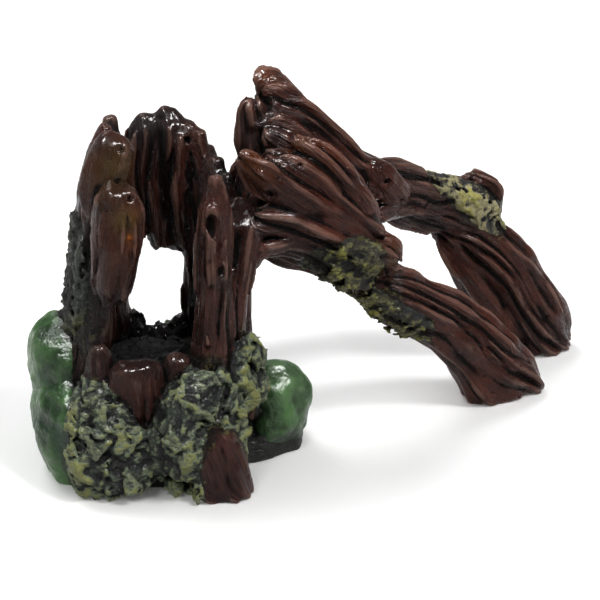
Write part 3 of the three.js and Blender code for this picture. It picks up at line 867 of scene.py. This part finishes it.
def green_paint():
    """Smooth green rock: mottled and lighter on its rises, partly as a painted highlight. It is dark in its
    dents, partly as painted shade, painted lighter where light falls on the right rock, and stained beside
    the moss.
    """
    m = Nodes("green_rock_paint")
    place = m.place()
    ridge = m.attribute("ridge")
    broad = m.attribute("broad")
    stains = m.noise(m.scaled(place, (95, 95, 95)), 1.0, 4.0, 0.6)
    blue = m.noise(m.scaled(place, (60, 60, 90)), 1.0, 2.0, 0.5)
    grit = m.noise(m.scaled(place, (800, 800, 800)), 1.0, 3.0, 0.6)
    crumbs = m.noise(m.scaled(place, (300, 300, 300)), 1.0)

    base = m.mix(m.ramp(stains, 0.36, 0.64), DARK_GREEN, LIGHT_GREEN)
    base = m.mix(m.ramp(blue, 0.52, 0.7, 0.0, 0.45), base, BLUE_GREEN)
    # Lighter on the rises, partly a painted highlight.
    base = m.mix(m.ramp(ridge, 0.3, 1.5, 0.0, 0.6), base, GREEN_CREST_AND_HIGHLIGHT)
    # Painted light: the right rock is lighter inside its pale patch, as if lit from the top right.
    base = m.mix(m.times(m.attribute("pale"), 0.6), base, PALE_AND_LIT_GREEN)
    # Darker in the dents, partly wash and partly painted shade.
    wash_and_shade = m.ramp(m.plus(m.times(ridge, 0.9), broad, 0.7), 0.1, -1.1)
    base = m.mix(m.times(wash_and_shade, 0.94), base, GREEN_WASH_AND_SHADE)
    moss = m.plus(m.attribute("mossy"), crumbs, 0.9)
    base = m.mix(m.ramp(moss, 1.0, 1.4, 0.0, 0.8), base, MOSS_STAIN)
    m.give(m.shader.inputs["Base Color"], base)

    m.give(m.shader.inputs["Roughness"], m.ramp(grit, 0.35, 0.75, 0.28, 0.46))
    m.shader.inputs["Coat Weight"].default_value = 0.12
    m.shader.inputs["Coat Roughness"].default_value = 0.2
    m.give(m.shader.inputs["Normal"], m.bump(grit, 0.0003, 0.5, m.bump(stains, 0.003, 0.7)))
    return m.material


def crumbly_paints():
    """The four mossy paints: name, dark, mid and bright colours, flecks, and the level that they start at."""
    rock = rgb(18, 20, 16), rgb(70, 82, 66), rgb(150, 160, 130), rgb(170, 170, 92)
    moss = rgb(20, 20, 13), rgb(66, 62, 38), rgb(132, 130, 84), rgb(184, 180, 72)
    slab = rgb(16, 17, 14), rgb(26, 28, 22), rgb(48, 52, 42), rgb(60, 64, 48)
    gravel = rgb(8, 8, 7), rgb(18, 17, 15), rgb(66, 62, 54), rgb(80, 76, 60)
    return {
        MOSSY: mossy_paint("mossy_rock_paint", *rock, lit=0.54),
        MOSS: mossy_paint("moss_paint", *moss, lit=0.495),
        SLAB: mossy_paint("dark_base_paint", *slab, lit=0.7),
        RUBBLE: mossy_paint("rubble_paint", *gravel, lit=0.66),
    }


MATERIALS = {WOOD: wood_paint(), GREEN: green_paint(), **crumbly_paints()}

for c in castings:
    build_piece(c, MATERIALS[c.kind])

# ---------------------------------------------------------------- floor, lights and camera


FLOOR_HALF = 150.0  # metres, so that its edge lies past the horizon in low views
WHITE = (1, 1, 1, 1)


def paper():
    m = Nodes("floor_paper")
    grain = m.noise(m.scaled(m.place(), (40, 40, 40)), 1.0, 2.0)
    m.give(m.shader.inputs["Base Color"], m.mix(grain, (0.93, 0.93, 0.93, 1), (0.95, 0.95, 0.95, 1)))
    m.shader.inputs["Roughness"].default_value = 0.9
    m.shader.inputs["Emission Color"].default_value = WHITE
    m.shader.inputs["Emission Strength"].default_value = 0.05
    m.shader.inputs["Specular IOR Level"].default_value = 0.1
    return m.material


def floor():
    h = FLOOR_HALF
    mesh = bpy.data.meshes.new("floor")
    mesh.from_pydata([(-h, -h, 0), (h, -h, 0), (h, h, 0), (-h, h, 0)], [], [(0, 1, 2, 3)])
    mesh.materials.append(paper())
    obj = bpy.data.objects.new("floor", mesh)
    bpy.context.scene.collection.objects.link(obj)
    obj.visible_diffuse = False  # no soft light comes back up, which keeps the undersides dark


def soft_sun(name, azimuth, elevation, strength, angle, behind=False):
    """A wide, distant lamp. Azimuth 0 shines from the front, -90 from the left; `behind` mirrors it in Y."""
    data = bpy.data.lights.new(name, "SUN")
    data.energy = strength
    data.angle = math.radians(angle)
    a, e = math.radians(azimuth), math.radians(elevation)
    front = -1 if behind else 1
    source = Vector((math.sin(a) * math.cos(e), -front * math.cos(a) * math.cos(e), math.sin(e)))
    obj = bpy.data.objects.new(name, data)
    obj.rotation_euler = source.to_track_quat("Z", "Y").to_euler()
    bpy.context.scene.collection.objects.link(obj)
    return obj


# Lamps that only show as highlights on the gloss.
GLINTS = [("glint_left", -62, 58), ("glint_front", -12, 52), ("glint_right", 34, 60)]

floor()
soft_sun("key", azimuth=-20, elevation=62, strength=1.15, angle=30, behind=True)
soft_sun("left", azimuth=-48, elevation=48, strength=0.5, angle=18)
soft_sun("right", azimuth=30, elevation=52, strength=1.05, angle=14)
for name, azimuth, elevation in GLINTS:
    glint = soft_sun(name, azimuth, elevation, strength=2.3, angle=12)
    glint.visible_diffuse = False

world = bpy.data.worlds.new("studio")
world.use_nodes = True
world.node_tree.nodes["Background"].inputs["Color"].default_value = WHITE
world.node_tree.nodes["Background"].inputs["Strength"].default_value = 0.28
bpy.context.scene.world = world
view = bpy.context.scene.view_settings
view.view_transform = "Standard"
view.exposure = 0.42
view.gamma = 0.8

CAMERA_AZIMUTH, CAMERA_ELEVATION = math.radians(-30), math.radians(20)
CAMERA_DISTANCE = 0.445
CAMERA_AIM = Vector((-0.0151, 0.0045, 0.040))
lens = bpy.data.cameras.new("camera")
lens.lens, lens.sensor_width = 85.0, 36.0
lens.clip_start, lens.clip_end = 0.01, 400.0
camera = bpy.data.objects.new("camera", lens)
level_out = math.cos(CAMERA_ELEVATION)
back_x, back_y = math.sin(CAMERA_AZIMUTH) * level_out, -math.cos(CAMERA_AZIMUTH) * level_out
back = Vector((back_x, back_y, math.sin(CAMERA_ELEVATION)))
camera.location = CAMERA_AIM + back * CAMERA_DISTANCE
camera.rotation_euler = (-back).to_track_quat("-Z", "Y").to_euler()
bpy.context.scene.collection.objects.link(camera)
bpy.context.scene.camera = camera
